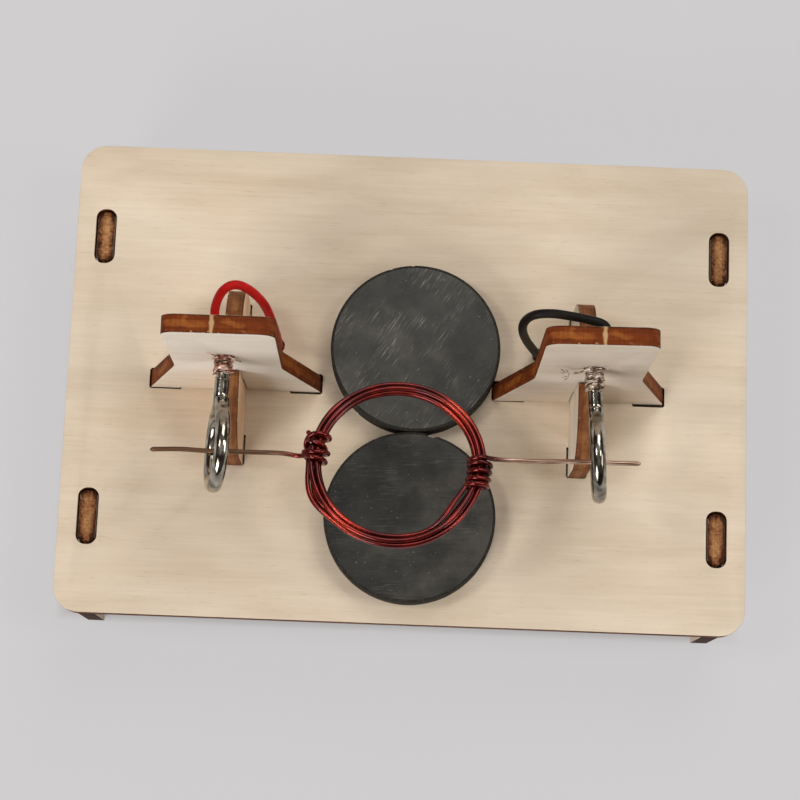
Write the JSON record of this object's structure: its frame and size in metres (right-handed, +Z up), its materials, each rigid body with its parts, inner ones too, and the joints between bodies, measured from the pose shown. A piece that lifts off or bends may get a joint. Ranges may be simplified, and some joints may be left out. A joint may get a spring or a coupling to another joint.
{
  "type": "demonstration electric motor",
  "caption": "Hand-wound wire coil that spins in screw eyes above disc magnets, on a tabbed plywood stand with insulated leads and a battery tray underneath.",
  "frame": {"origin": "on the surface the stand rests on, under the middle of the top plate", "axes": "+X to the right, close to the axle's line; +Y to the rear; +Z up"},
  "size_m": [0.12, 0.084, 0.0652],
  "materials": {
    "plywood": "smooth sawn, laser-browned edges",
    "ferrite": "ground, fine scratches",
    "nickel_plate": "polished nickel plate",
    "bare_copper": "bare drawn copper",
    "red_insulation": "semi-gloss extruded vinyl",
    "black_insulation": "semi-gloss extruded vinyl",
    "foam": "closed-cell foam",
    "black_plastic": "moulded, fine texture",
    "cell_sleeve": "satin shrink sleeve",
    "plated_spring_steel": "bright plated strip",
    "enamelled_copper": "clear red enamel over copper"
  },
  "bodies": {
    "stand": {"top_plate": "plywood", "leg_panel_left": "plywood", "leg_panel_right": "plywood", "upright_left": "plywood", "upright_right": "plywood", "cross_brace_left": "plywood", "cross_brace_right": "plywood", "magnet_rear": "ferrite", "magnet_front": "ferrite", "eye_screw_left": "nickel_plate", "eye_screw_right": "nickel_plate", "strand_wrap_left": "bare_copper", "strand_wrap_right": "bare_copper", "lead_red": "red_insulation", "lead_black": "black_insulation", "foam_tape": "foam", "battery_tray": "black_plastic", "battery_cell": "cell_sleeve", "contact_positive": "plated_spring_steel", "contact_negative": "plated_spring_steel"},
    "rotor": {"coil_winding": "enamelled_copper", "end_wrap_left": "enamelled_copper", "end_wrap_right": "enamelled_copper", "axle_lead_left": "enamelled_copper", "axle_lead_right": "bare_copper"}
  },
  "joints": [
    {"name": "rotor_spin", "type": "hinge", "parent": "stand", "child": "rotor", "pos_m": [0, -0.01649, 0.04354], "axis": [1, 0.0084, 0.0016], "continuous": true}
  ]
}
